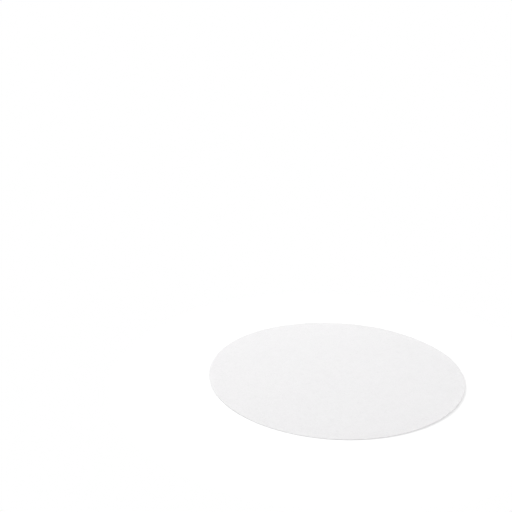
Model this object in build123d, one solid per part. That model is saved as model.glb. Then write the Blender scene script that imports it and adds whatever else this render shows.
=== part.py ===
from build123d import *
from math import asin, degrees, hypot
import os

# A plain qualitative filter paper: one disc of soft cellulose paper, die cut flat and
# lying on a bench with the gentle curl that a loose sheet keeps.
# Millimetres, +Z up. The origin is on the bench, under the middle of the disc.

# what the paper machine and the ring die set
disc_diameter = 110.0      # the standard 11 cm circle
sheet_thickness = 0.18     # one ply of medium filter paper
die_round = 0.04           # the upper rim, where the die pressed the fibres down

# how the loose sheet lies
rest_half_width = 15.0     # half of the strip that touches the bench, across the curl
rim_lift = 0.7             # how high the underside stands at the two curled rims

disc_radius = disc_diameter / 2
die_margin = 2.0           # how far the paper runs past the die all round


def curled_sheet():
    # The uncut paper. Its section, seen along the curl, is flat over the bench and then
    # rises in one large tangent arc each side, the same thickness all the way.
    reach = disc_radius - rest_half_width
    curl_radius = (reach**2 + rim_lift**2) / (2 * rim_lift)
    sheet_reach = hypot(reach + die_margin, rim_lift)
    sheet_angle = degrees(2 * asin(sheet_reach / (2 * curl_radius)))

    under_flat = Line((0, 0), (rest_half_width, 0))
    under_arc = JernArc(under_flat @ 1, (1, 0), curl_radius, sheet_angle)
    upper_flat = Line((0, sheet_thickness), (rest_half_width, sheet_thickness))
    upper_arc = JernArc(upper_flat @ 1, (1, 0), curl_radius - sheet_thickness, sheet_angle)
    sheet_end = Line(under_arc @ 1, upper_arc @ 1)
    half = under_flat + under_arc + sheet_end + upper_arc + upper_flat
    section = make_face(half + mirror(half, Plane.YZ))
    return extrude(Plane.XZ * section, disc_radius + die_margin, both=True)


def filter_paper_disc():
    # The ring die comes straight down, so the disc is round in plan. Its cut edge stays
    # square below, against the cutting bed, and is pressed slightly round above.
    die_height = 2 * (rim_lift + sheet_thickness + die_margin)
    disc = curled_sheet() & Cylinder(disc_radius, die_height)
    upper_skin = disc.faces().filter_by(lambda face: face.normal_at().Z > 0.5)
    cut_edge = disc.faces().filter_by(lambda face: abs(face.normal_at().Z) < 0.5)
    return fillet(upper_skin.edges() & cut_edge.edges(), die_round)


os.makedirs("parts", exist_ok=True)
export_step(filter_paper_disc(), "parts/filter_paper_disc.step")
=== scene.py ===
import math

import bpy
import numpy as np
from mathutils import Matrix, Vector


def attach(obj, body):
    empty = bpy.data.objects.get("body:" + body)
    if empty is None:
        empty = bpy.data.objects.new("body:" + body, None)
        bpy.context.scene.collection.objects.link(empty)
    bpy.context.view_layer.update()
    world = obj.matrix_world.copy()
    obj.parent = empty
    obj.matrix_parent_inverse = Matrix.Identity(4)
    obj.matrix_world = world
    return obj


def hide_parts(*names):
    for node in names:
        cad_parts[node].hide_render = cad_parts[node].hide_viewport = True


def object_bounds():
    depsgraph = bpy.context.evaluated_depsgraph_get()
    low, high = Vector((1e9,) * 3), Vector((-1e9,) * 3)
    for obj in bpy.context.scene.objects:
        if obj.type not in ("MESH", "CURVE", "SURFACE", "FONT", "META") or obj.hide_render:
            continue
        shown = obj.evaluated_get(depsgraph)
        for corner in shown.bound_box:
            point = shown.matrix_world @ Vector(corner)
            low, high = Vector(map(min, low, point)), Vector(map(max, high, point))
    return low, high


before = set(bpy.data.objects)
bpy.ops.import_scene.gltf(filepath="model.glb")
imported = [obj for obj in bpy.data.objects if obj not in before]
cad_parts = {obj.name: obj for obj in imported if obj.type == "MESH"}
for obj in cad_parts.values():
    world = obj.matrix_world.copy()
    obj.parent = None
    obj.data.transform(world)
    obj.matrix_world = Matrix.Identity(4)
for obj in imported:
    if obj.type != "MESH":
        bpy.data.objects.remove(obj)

cadLow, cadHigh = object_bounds()
millimetre = 0.001
touchTolerance = 0.001 * millimetre    # a vertex this near to zero lies on the bench
middle = 0.5                           # of the waves and noises, which run from 0 to 1


def readSheet():
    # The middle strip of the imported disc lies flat, so its vertices give the thickness and
    # the strip's width. What is left of the overall height is how far the rims have curled up.
    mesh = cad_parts["filter_paper_disc"].data
    points = np.empty(len(mesh.vertices) * 3)
    mesh.vertices.foreach_get("co", points)
    x, y, z = points.reshape(-1, 3).T
    touching = z < touchTolerance
    stripHalf = np.abs(x[touching]).max()
    thickness = z[np.abs(x) < stripHalf].max()
    return {
        "radius": (cadHigh.y - cadLow.y) / 2,
        "thickness": thickness,
        "stripHalf": stripHalf,
        "rimLift": cadHigh.z - thickness,
    }


sheet = readSheet()
print("sheet read:", {name: round(size / millimetre, 3) for name, size in sheet.items()}, "mm")


upperFace, cutEdge, underside = 0, 1, 2    # the parts of the disc's skin

# what shapes the disc beyond the sizes read above
disc = {
    "divisionsAround": 384,
    "upperRings": 120,                       # rings across the upper face
    "lowerRings": 100,                       # rings across the underside
    "edgeRound": 0.04 * millimetre,          # the upper rim, pressed round by the die
    "edgeSteps": 4,
    "cutRows": 4,                            # rows down the cut edge
    "fibreEnds": 0.012 * millimetre,         # how far the cut fibre ends are drawn back
    "cockleDepth": 0.13 * millimetre,        # hills and hollows from drying
    "cockleWidths": (14 * millimetre, 46 * millimetre),
    "cockleWaves": 18,
    "fadePower": 4,                          # a higher one keeps the cockle nearer to the rims
    "clumpDepth": 0.006 * millimetre,        # the sheet is thicker where fibres clump
    "clumpWidths": (3 * millimetre, 8 * millimetre),
    "clumpWaves": 40,
    "creaseAngle": 50,                       # degrees, past which an edge is sharp
    "seed": 11,
}


def curlHeight(x):
    # Nothing over the strip that rests, then one large arc that leaves it tangent and reaches
    # rimLift at the rim: radius minus the root of radius squared less distance squared.
    reach = sheet["radius"] - sheet["stripHalf"]
    arcRadius = (reach**2 + sheet["rimLift"]**2) / (2 * sheet["rimLift"])
    past = np.maximum(np.abs(x) - sheet["stripHalf"], 0)
    return arcRadius - np.sqrt(arcRadius**2 - past**2)


def waves(x, y, widths, count, seed):
    # A sum of plane cosine waves with seeded directions, widths and starts, where a wider wave
    # is higher in proportion, brought to the range 0 to 1 over the points given.
    random = np.random.default_rng(seed)
    heading = random.uniform(0, math.pi, count)
    width = random.uniform(*widths, count)
    start = random.uniform(0, 2 * math.pi, count)
    total = np.zeros_like(x)
    for turn, length, phase in zip(heading, width, start):
        along = x * math.cos(turn) + y * math.sin(turn)
        total += length * np.cos(2 * math.pi * along / length + phase)
    return (total - total.min()) / (total.max() - total.min())


def discProfile():
    # The outline of half a section, from beside the middle of the upper face, over the rim and
    # back to beside the middle of the underside. Each point has its distance out, its height
    # through the sheet from 0 to 1, and its part.
    radius, thickness, roundness = sheet["radius"], sheet["thickness"], disc["edgeRound"]
    upper = np.linspace(0, radius - roundness, disc["upperRings"] + 1)[1:]
    turn = np.linspace(0, math.pi / 2, disc["edgeSteps"] + 1)[1:]
    roundOut = radius - roundness + roundness * np.sin(turn)
    roundUp = 1 - (roundness / thickness) * (1 - np.cos(turn))
    cutUp = np.linspace(roundUp[-1], 0, disc["cutRows"] + 1)[1:]
    lower = np.linspace(radius - roundness, 0, disc["lowerRings"] + 1)[:-1]
    out = np.concatenate([upper, roundOut, np.full_like(cutUp, radius), lower])
    up = np.concatenate([np.ones_like(upper), roundUp, cutUp, np.zeros_like(lower)])
    part = np.repeat([upperFace, cutEdge, underside],
                     [len(upper), len(roundOut) + len(cutUp), len(lower)])
    return out, up, part


def discPoints():
    # The profile turned about the middle, as rows of rings, then one point for the middle of
    # each face. A point's height is the curl, plus the cockle, plus its share of the sheet's
    # thickness there. Cockle and clumps fade to nothing at the two curled rims. Fibre ends are
    # drawn back on the cut edge only.
    out, up, part = discProfile()
    rings, columns = len(out), disc["divisionsAround"]
    angle = np.arange(columns) * 2 * math.pi / columns
    random = np.random.default_rng(disc["seed"])
    drawnBack = np.abs(random.normal(0, disc["fibreEnds"], (rings, columns)))
    reach = out[:, None] - np.where(part[:, None] == cutEdge, drawnBack, 0)
    x = np.append((reach * np.cos(angle)).ravel(), [0, 0])
    y = np.append((reach * np.sin(angle)).ravel(), [0, 0])
    up = np.append(np.repeat(up, columns), [1, 0])
    part = np.append(np.repeat(part, columns), [upperFace, underside])
    fade = 1 - (x / sheet["radius"])**disc["fadePower"]
    cockle = waves(x, y, disc["cockleWidths"], disc["cockleWaves"], disc["seed"] + 1)
    clump = waves(x, y, disc["clumpWidths"], disc["clumpWaves"], disc["seed"] + 2)
    thickness = sheet["thickness"] + disc["clumpDepth"] * (clump - middle) * fade
    z = curlHeight(x) + disc["cockleDepth"] * cockle * fade + up * thickness
    return np.stack([x, y, z - z.min()], -1), part, rings


def discFaces(rings):
    # Four-sided faces between neighbouring rings, and a fan of triangles round each middle.
    columns = disc["divisionsAround"]
    index = np.arange(rings * columns).reshape(rings, columns)
    after = np.roll(index, -1, axis=1)
    quads = np.stack([index[:-1], index[1:], after[1:], after[:-1]], -1).reshape(-1, 4)
    topFan = np.stack([np.full(columns, index.size), index[0], after[0]], -1)
    bottomFan = np.stack([np.full(columns, index.size + 1), after[-1], index[-1]], -1)
    return quads.tolist() + topFan.tolist() + bottomFan.tolist()


def makeDisc():
    points, part, rings = discPoints()
    mesh = bpy.data.meshes.new("filterPaperDisc")
    mesh.from_pydata(points.tolist(), [], discFaces(rings))
    wireSide = mesh.attributes.new("wireSide", "FLOAT", "POINT")
    wireSide.data.foreach_set("value", (part == underside).astype(np.float32))
    mesh.shade_smooth()
    mesh.set_sharp_from_angle(angle=math.radians(disc["creaseAngle"]))
    made = bpy.data.objects.new("filterPaperDisc", mesh)
    bpy.context.scene.collection.objects.link(made)
    return made


def linear(code):
    # An sRGB hex colour as the linear colour that a shader socket holds.
    parts = [int(code[i:i + 2], 16) / 255 for i in (1, 3, 5)]
    return [p / 12.92 if p <= 0.04045 else ((p + 0.055) / 1.055)**2.4 for p in parts] + [1]


def addNode(owner, kind, settings=None, **links):
    # Adds one node. Settings name its properties, or its sockets by name or index. Links join
    # a named input (underscores for spaces), or i and its index, to another node's output.
    node = owner.node_tree.nodes.new(kind)
    for name, value in (settings or {}).items():
        if isinstance(name, int) or name in node.inputs:
            node.inputs[name].default_value = value
        else:
            setattr(node, name, value)
    for name, source in links.items():
        key = int(name[1:]) if name[0] == "i" and name[1:].isdigit() else name.replace("_", " ")
        owner.node_tree.links.new(source, node.inputs[key])
    return node


# the paper, in millimetres where it is a size
paper = {
    "colour": "#F5F4F5",          # bleached cellulose, a shade off white
    "thinShadedColour": "#EDECED",      # between the fibres, where the felt lies lower: thinner paper there, darkened further with painted shade in the low spots
    "fibreLength": 3.2,           # about twice the real length
    "fibreWidth": 0.36,           # real ones are 0.03 wide and wouldn't show
    "fibreHeadings": (8, 45, 80, 117, 152),
    "fibreBend": 2.2,             # how far a fibre wanders from its heading
    "bendSize": 2.5,
    "bendDetail": 1.0,
    "layersApart": 7.3,           # gives each heading its own part of the noise
    "strandEdge": 0.07,           # share of a noise's range on each side of a strand's middle
    "grainSize": 0.4,             # fibre ends and fines between the fibres
    "grainDetail": 2.0,
    "clumpSize": 4.5,
    "clumpDetail": 3.0,
    "fibreShare": 0.55,           # how much fibres count beside the grain
    "clumpShare": 0.3,            # how much clumps count in the tone
    "toneRange": (0.55, 1.15),    # from the low spots' colour, thin paper with painted shade, to colour
    "feltHeight": 0.04,           # how deep the relief is, a few fibres high
    "wirePitch": 0.6,             # the forming wire's mesh, about twice the real pitch
    "wireShare": 0.7,             # how deep it is pressed into the underside
    "scatter": 0.1,               # how far light spreads inside the sheet
    "roughness": 0.92,
    "specular": 0.25,             # uncoated fibres reflect little
    "sheen": 0.05,                # the fine nap on the surface
}
wavePeriod = math.pi / 10         # how far a wave texture of scale 1 goes before it repeats


def feltedCellulosePaper():
    # Cotton and wood cellulose felted on a wire and dried without pressing or coating. It is
    # matt and soft white, faintly cloudy where fibres clump, with a tangle of fine fibres, and
    # thin enough for light to pass through its rim.
    material = bpy.data.materials.new("felted cellulose paper")
    material.use_nodes = True
    material.node_tree.nodes.clear()
    place = addNode(material, "ShaderNodeTexCoord").outputs["Object"]
    inMillimetres = addNode(material, "ShaderNodeMapping", {"Scale": (1 / millimetre,) * 3},
                            Vector=place).outputs[0]

    drift = addNode(material, "ShaderNodeTexNoise",
                    {"Scale": 1 / paper["bendSize"], "Detail": paper["bendDetail"]},
                    Vector=inMillimetres)
    centred = addNode(material, "ShaderNodeVectorMath",
                      {"operation": "SUBTRACT", 1: (middle,) * 3}, i0=drift.outputs["Color"])
    bent = addNode(material, "ShaderNodeVectorMath",
                   {"operation": "MULTIPLY_ADD", 1: (paper["fibreBend"],) * 3},
                   i0=centred.outputs[0], i2=inMillimetres).outputs[0]

    # Each layer of fibres is a noise stretched along its heading, and a strand is where the
    # noise crosses its middle value. The highest strand of all the layers shows.
    felt = None
    for layer, heading in enumerate(paper["fibreHeadings"]):
        turned = addNode(material, "ShaderNodeMapping",
                         {"vector_type": "TEXTURE", "Rotation": (0, 0, math.radians(heading)),
                          "Location": (0, 0, paper["layersApart"] * layer),
                          "Scale": (paper["fibreLength"], paper["fibreWidth"], 1)},
                         Vector=bent).outputs[0]
        noise = addNode(material, "ShaderNodeTexNoise", {"Scale": 1.0, "Detail": 0.0},
                        Vector=turned).outputs[0]
        above = addNode(material, "ShaderNodeMath",
                        {"operation": "SUBTRACT", 1: middle}, i0=noise).outputs[0]
        away = addNode(material, "ShaderNodeMath", {"operation": "ABSOLUTE"}, i0=above).outputs[0]
        strand = addNode(material, "ShaderNodeMapRange",
                         {"interpolation_type": "SMOOTHSTEP",
                          "From Min": paper["strandEdge"], "From Max": 0.0},
                         Value=away).outputs[0]
        if felt is None:
            felt = strand
        else:
            felt = addNode(material, "ShaderNodeMath", {"operation": "MAXIMUM"},
                           i0=felt, i1=strand).outputs[0]

    grain = addNode(material, "ShaderNodeTexNoise",
                    {"Scale": 1 / paper["grainSize"], "Detail": paper["grainDetail"]},
                    Vector=inMillimetres).outputs[0]
    clump = addNode(material, "ShaderNodeTexNoise",
                    {"Scale": 1 / paper["clumpSize"], "Detail": paper["clumpDetail"]},
                    Vector=inMillimetres).outputs[0]
    relief = addNode(material, "ShaderNodeMath",
                     {"operation": "MULTIPLY_ADD", 1: paper["fibreShare"]},
                     i0=felt, i2=grain).outputs[0]

    # the wire's mark, on the underside only: lower and thinner where the wires crossed
    wireSide = addNode(material, "ShaderNodeAttribute",
                       {"attribute_name": "wireSide"}).outputs["Fac"]
    wires = []
    for direction in ("X", "Y"):
        wires.append(addNode(material, "ShaderNodeTexWave",
                             {"bands_direction": direction, "Detail": 0.0,
                              "Scale": wavePeriod / paper["wirePitch"]},
                             Vector=inMillimetres).outputs["Fac"])
    wireMesh = addNode(material, "ShaderNodeMath", {"operation": "MULTIPLY"},
                       i0=wires[0], i1=wires[1]).outputs[0]
    pressed = addNode(material, "ShaderNodeMath", {"operation": "MULTIPLY"},
                      i0=wireMesh, i1=wireSide).outputs[0]
    height = addNode(material, "ShaderNodeMath",
                     {"operation": "MULTIPLY_ADD", 1: -paper["wireShare"]},
                     i0=pressed, i2=relief).outputs[0]

    # The tone follows the relief's height as well as the clumps. So the felt's hollows and the wire's
    # mark are painted darker: painted shade on top of the real thinner paper there.
    tone = addNode(material, "ShaderNodeMath",
                   {"operation": "MULTIPLY_ADD", 1: paper["clumpShare"]},
                   i0=clump, i2=height).outputs[0]
    share = addNode(material, "ShaderNodeMapRange",
                    {"From Min": paper["toneRange"][0], "From Max": paper["toneRange"][1]},
                    Value=tone).outputs[0]
    # a Mix node's colours are its inputs 6 and 7 and its output 2
    colour = addNode(material, "ShaderNodeMix",
                     {"data_type": "RGBA", 6: linear(paper["thinShadedColour"]),
                      7: linear(paper["colour"])}, i0=share).outputs[2]

    bump = addNode(material, "ShaderNodeBump",
                   {"Strength": 1.0, "Distance": paper["feltHeight"] * millimetre},
                   Height=height).outputs[0]
    surface = addNode(material, "ShaderNodeBsdfPrincipled",
                      {"Roughness": paper["roughness"],
                       "Specular IOR Level": paper["specular"],
                       "Sheen Weight": paper["sheen"], "Subsurface Weight": 1.0,
                       "Subsurface Radius": (1, 1, 1),
                       "Subsurface Scale": paper["scatter"] * millimetre},
                      Base_Color=colour, Normal=bump)
    addNode(material, "ShaderNodeOutputMaterial", Surface=surface.outputs[0])
    return material


# the bench and the light, in metres and watts
studio = {
    "benchSize": 6.0,
    "benchGap": 0.01 * millimetre,        # keeps the bench just under the sheet
    "benchAlbedo": 0.8,                   # how much light it throws back on the disc
    "shadowDepth": 0.5,                   # how much of the shadow on it shows
    "benchGlow": 0.59,                    # what brings the lit bench to white
    "shadowEnds": (0.07, 0.10),           # how far out the shadow fades to plain white
    "white": 1.0,                         # the strength that is seen as plain white
    "skyStrength": 0.70,
    "keyPower": 2.9,
    "keySize": 0.5,
    "keyPlace": (-0.48, 0.19, 0.64),      # high, behind the disc on its left
}


def seenDirectly(owner):
    # 1 for what the camera, a reflection or a view through glass sees, 0 for what lights.
    path = addNode(owner, "ShaderNodeLightPath")
    either = addNode(owner, "ShaderNodeMath", {"operation": "MAXIMUM"},
                     i0=path.outputs["Is Camera Ray"], i1=path.outputs["Is Glossy Ray"])
    return addNode(owner, "ShaderNodeMath", {"operation": "MAXIMUM"},
                   i0=either.outputs[0], i1=path.outputs["Is Transmission Ray"]).outputs[0]


def grey(level):
    return (level, level, level, 1)


def paintedBench():
    # Matt white paint, rolled on. It lights the disc as paint would, and gives the eye plain
    # white with the disc's soft shadow on it.
    material = bpy.data.materials.new("matt white paint")
    material.use_nodes = True
    material.node_tree.nodes.clear()
    place = addNode(material, "ShaderNodeTexCoord").outputs["Object"]
    distance = addNode(material, "ShaderNodeVectorMath", {"operation": "LENGTH"},
                       i0=place).outputs["Value"]
    nearest, furthest = studio["shadowEnds"]
    far = addNode(material, "ShaderNodeMapRange",
                  {"interpolation_type": "SMOOTHSTEP", "From Min": nearest,
                   "From Max": furthest}, Value=distance).outputs[0]
    lit = addNode(material, "ShaderNodeBsdfDiffuse", {"Color": grey(studio["shadowDepth"])})
    glow = addNode(material, "ShaderNodeEmission", {"Strength": studio["benchGlow"]})
    near = addNode(material, "ShaderNodeAddShader", i0=lit.outputs[0], i1=glow.outputs[0])
    white = addNode(material, "ShaderNodeEmission", {"Strength": studio["white"]})
    seen = addNode(material, "ShaderNodeMixShader",
                   i0=far, i1=near.outputs[0], i2=white.outputs[0])
    paint = addNode(material, "ShaderNodeBsdfDiffuse", {"Color": grey(studio["benchAlbedo"])})
    both = addNode(material, "ShaderNodeMixShader",
                   i0=seenDirectly(material), i1=paint.outputs[0], i2=seen.outputs[0])
    addNode(material, "ShaderNodeOutputMaterial", Surface=both.outputs[0])
    return material


def makeBench():
    half = studio["benchSize"] / 2
    low = cadLow.z - studio["benchGap"]
    mesh = bpy.data.meshes.new("bench")
    mesh.from_pydata([(-half, -half, low), (half, -half, low), (half, half, low),
                      (-half, half, low)], [], [(0, 1, 2, 3)])
    mesh.materials.append(paintedBench())
    bench = bpy.data.objects.new("bench", mesh)
    bpy.context.scene.collection.objects.link(bench)


def makeRoom():
    # An even, soft white light from all round, seen as white.
    world = bpy.data.worlds.new("soft room")
    bpy.context.scene.world = world
    world.use_nodes = True
    world.node_tree.nodes.clear()
    lit = addNode(world, "ShaderNodeBackground",
                  {"Color": grey(1), "Strength": studio["skyStrength"]})
    white = addNode(world, "ShaderNodeBackground",
                    {"Color": grey(1), "Strength": studio["white"]})
    both = addNode(world, "ShaderNodeMixShader",
                   i0=seenDirectly(world), i1=lit.outputs[0], i2=white.outputs[0])
    addNode(world, "ShaderNodeOutputWorld", Surface=both.outputs[0])


def makeKeyLight():
    light = bpy.data.lights.new("keyLight", "AREA")
    light.energy = studio["keyPower"]
    light.size = studio["keySize"]
    lamp = bpy.data.objects.new("keyLight", light)
    place = Vector(studio["keyPlace"])
    lamp.location = place
    lamp.rotation_euler = (-place).to_track_quat("-Z", "Y").to_euler()
    bpy.context.scene.collection.objects.link(lamp)


# The camera. Its place is how far right of, beyond and above the disc's middle it is in metres,
# before it is turned. A negative one is left of it or in front.
view = {
    "turn": 23.0,                             # degrees round the disc's middle, anticlockwise from above
    "place": (-0.03456, -0.2964, 0.14855),
    "tilt": 17.8,                             # degrees down
    "lens": 52.7,
}


def makeCamera():
    # Unturned, a camera looks straight down, and turned 90 degrees it is level.
    turn = math.radians(view["turn"])
    right, beyond, up = view["place"]
    data = bpy.data.cameras.new("camera")
    data.lens = view["lens"]
    camera = bpy.data.objects.new("camera", data)
    camera.location = (right * math.cos(turn) - beyond * math.sin(turn),
                       right * math.sin(turn) + beyond * math.cos(turn), up)
    camera.rotation_euler = (math.radians(90 - view["tilt"]), 0, turn)
    bpy.context.scene.collection.objects.link(camera)
    bpy.context.scene.camera = camera


filterPaper = makeDisc()
filterPaper.data.materials.append(feltedCellulosePaper())
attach(filterPaper, "root")
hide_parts("filter_paper_disc")
print("disc made:", len(filterPaper.data.polygons), "faces")

makeBench()
makeRoom()
makeKeyLight()
makeCamera()
bpy.context.scene.view_settings.view_transform = "Standard"
print("bench, light and camera set")
